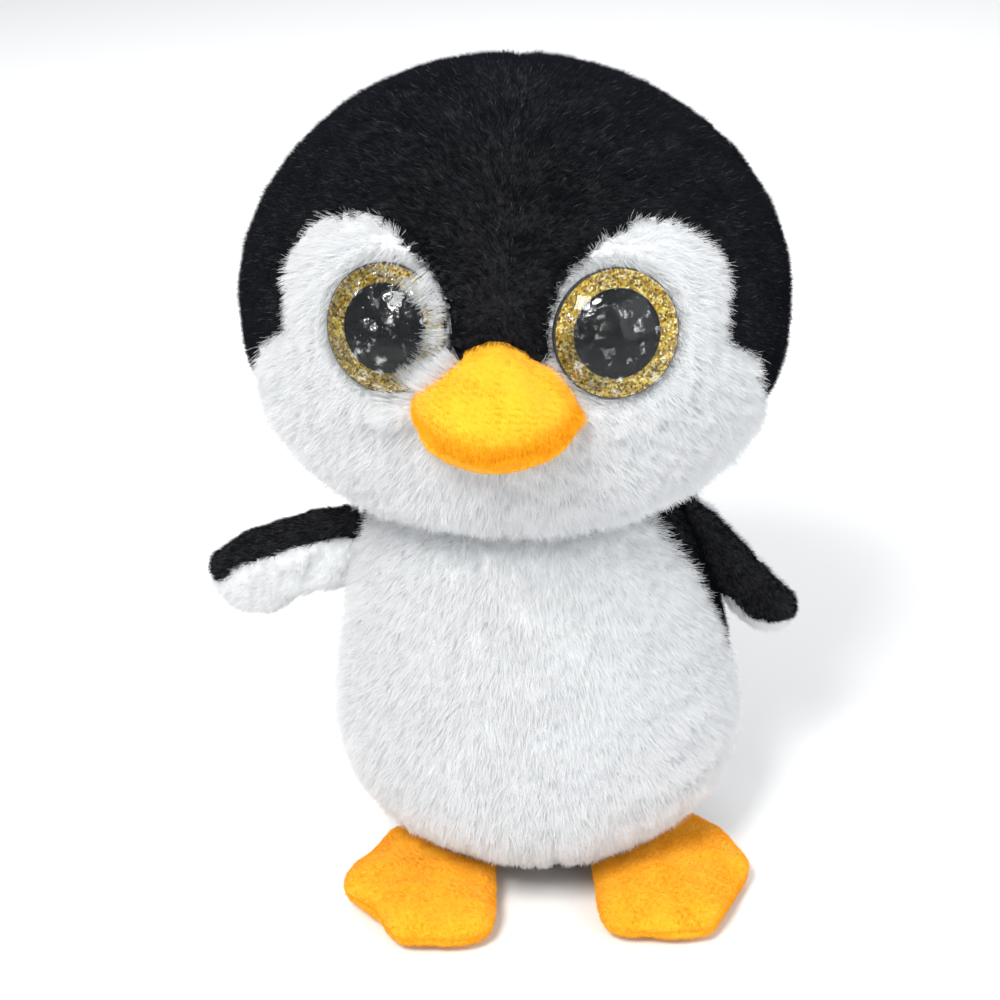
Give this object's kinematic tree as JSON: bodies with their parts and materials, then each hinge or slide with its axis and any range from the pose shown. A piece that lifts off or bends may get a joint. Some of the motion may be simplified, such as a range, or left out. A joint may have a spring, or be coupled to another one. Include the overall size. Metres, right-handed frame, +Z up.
{
  "type": "plush penguin toy",
  "caption": "Standing plush penguin with a large round head, dome safety eyes, padded beak, flapping wings and webbed feet.",
  "frame": {"origin": "middle of the flat base on the surface the toy stands on", "axes": "+Z up, the face looks along -Y, the toy's own left side is at +X"},
  "size_m": [0.1655, 0.1375, 0.2236],
  "materials": {
    "white_plush": "matte",
    "black_plush": "matte",
    "black_plush_short": "matte",
    "orange_plush": "matte",
    "fibre_fill": "matte",
    "pouch_cloth": "matte",
    "beans": "satin",
    "thread": "satin",
    "clear_dome": "gloss",
    "clear_film": "gloss",
    "gold_glitter": "gloss",
    "pupil_black": "gloss",
    "moulded_black": "satin",
    "washer_white": "satin"
  },
  "bodies": {
    "torso": {"belly_panel": "white_plush", "back_panel_left": "black_plush_short", "back_panel_right": "black_plush_short", "base_panel": "black_plush_short", "body_stuffing": "fibre_fill", "bean_pouch": "pouch_cloth", "bean_fill": "beans", "closing_stitches": "thread"},
    "neck": {"neck_seam": "thread"},
    "head": {"head_front_cap": "black_plush", "head_back_left": "black_plush", "head_back_right": "black_plush", "face_left": "white_plush", "face_right": "white_plush", "head_stuffing": "fibre_fill", "beak_upper": "orange_plush", "beak_lower": "orange_plush", "beak_stuffing": "fibre_fill", "eye_lens_left": "clear_dome", "eye_iris_left": "gold_glitter", "eye_pupil_left": "pupil_black", "eye_back_left": "moulded_black", "eye_washer_left": "washer_white", "eye_film_left": "clear_film", "eye_lens_right": "clear_dome", "eye_iris_right": "gold_glitter", "eye_pupil_right": "pupil_black", "eye_back_right": "moulded_black", "eye_washer_right": "washer_white", "eye_film_right": "clear_film"},
    "wing_right": {"wing_outer_right": "black_plush_short", "wing_inner_right": "white_plush", "wing_stuffing_right": "fibre_fill"},
    "wing_left": {"wing_outer_left": "black_plush_short", "wing_inner_left": "white_plush", "wing_stuffing_left": "fibre_fill"},
    "foot_left": {"foot_top_left": "orange_plush", "foot_sole_left": "orange_plush", "foot_stuffing_left": "fibre_fill"},
    "foot_right": {"foot_top_right": "orange_plush", "foot_sole_right": "orange_plush", "foot_stuffing_right": "fibre_fill"}
  },
  "joints": [
    {"name": "head_turn", "type": "hinge", "parent": "torso", "child": "neck", "pos_m": [-0.0012, 0, 0.162], "axis": [0, 0, 1], "range_deg": [-20, 20], "stiffness_Nm_per_rad": 0.25},
    {"name": "head_nod", "type": "hinge", "parent": "neck", "child": "head", "pos_m": [-0.0012, 0, 0.162], "axis": [0.999, 0, -0.0436], "range_deg": [-10, 12], "stiffness_Nm_per_rad": 0.35},
    {"name": "wing_right_flap", "type": "hinge", "parent": "torso", "child": "wing_right", "pos_m": [-0.0544, -0.004, 0.0946], "axis": [0, 1, 0], "range_deg": [-30, 25], "stiffness_Nm_per_rad": 0.02},
    {"name": "wing_left_flap", "type": "hinge", "parent": "torso", "child": "wing_left", "pos_m": [0.0552, -0.0013, 0.0926], "axis": [0.4657, -0.8849, 0], "range_deg": [-18, 40], "stiffness_Nm_per_rad": 0.02},
    {"name": "foot_left_flex", "type": "hinge", "parent": "torso", "child": "foot_left", "pos_m": [0.031, -0.02, 0.003], "axis": [-0.848, -0.5299, 0], "range_deg": [-15, 12], "stiffness_Nm_per_rad": 0.08},
    {"name": "foot_right_flex", "type": "hinge", "parent": "torso", "child": "foot_right", "pos_m": [-0.031, -0.02, 0.003], "axis": [-0.9816, 0.1908, 0], "range_deg": [-15, 6], "stiffness_Nm_per_rad": 0.08}
  ]
}
